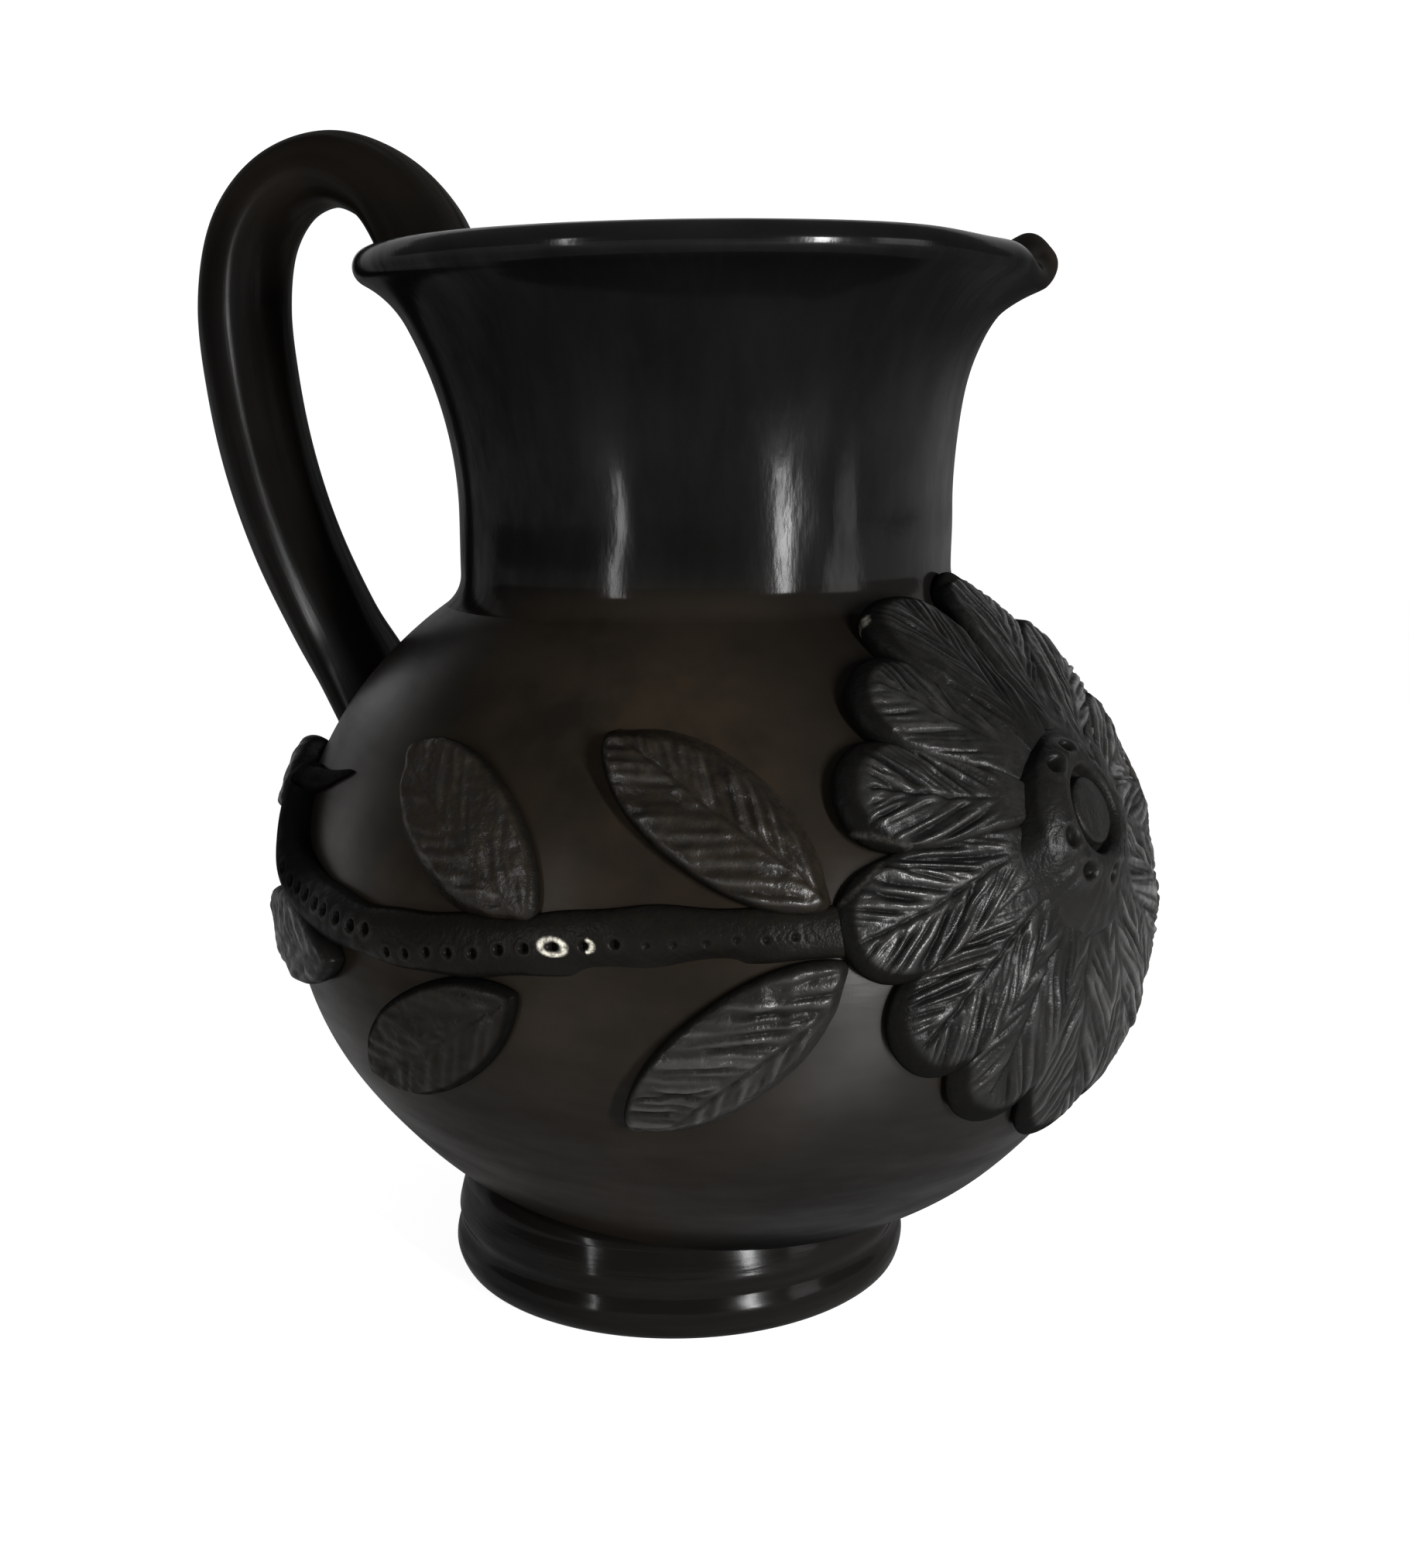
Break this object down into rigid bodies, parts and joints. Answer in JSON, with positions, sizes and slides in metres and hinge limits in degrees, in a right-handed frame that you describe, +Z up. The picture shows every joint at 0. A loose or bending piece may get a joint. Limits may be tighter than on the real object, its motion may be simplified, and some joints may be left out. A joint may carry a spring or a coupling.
{
  "type": "jug",
  "caption": "Round-bellied black clay jug with a flared neck, small pouring lip, arched handle and foot ring, dressed with an applied flower and leafy vine.",
  "frame": {"origin": "middle of the foot ring, on the surface the jug stands on", "axes": "+Z up, +X towards the pouring lip, the handle on -X, the front vine on -Y"},
  "size_m": [0.1651, 0.1413, 0.185],
  "materials": {
    "burnished_clay": "smoke-fired black clay, rubbed with a smooth stone to a soft gloss",
    "ornament_clay": "the same black clay left matte, with cut veins and pricked dots"
  },
  "bodies": {
    "root": {"belly": "burnished_clay", "neck": "burnished_clay", "foot_ring": "burnished_clay", "handle": "burnished_clay", "flower_boss": "ornament_clay", "flower_button": "ornament_clay", "petal_01": "ornament_clay", "petal_02": "ornament_clay", "petal_03": "ornament_clay", "petal_04": "ornament_clay", "petal_05": "ornament_clay", "petal_06": "ornament_clay", "petal_07": "ornament_clay", "petal_08": "ornament_clay", "petal_09": "ornament_clay", "petal_10": "ornament_clay", "petal_11": "ornament_clay", "petal_12": "ornament_clay", "petal_13": "ornament_clay", "front_vine": "ornament_clay", "front_upper_leaf_1": "ornament_clay", "front_lower_leaf_1": "ornament_clay", "front_upper_leaf_2": "ornament_clay", "front_lower_leaf_2": "ornament_clay", "front_upper_leaf_3": "ornament_clay", "front_lower_leaf_3": "ornament_clay", "back_vine": "ornament_clay", "back_upper_leaf_1": "ornament_clay", "back_lower_leaf_1": "ornament_clay", "back_upper_leaf_2": "ornament_clay", "back_lower_leaf_2": "ornament_clay", "back_upper_leaf_3": "ornament_clay", "back_lower_leaf_3": "ornament_clay"}
  },
  "joints": []
}
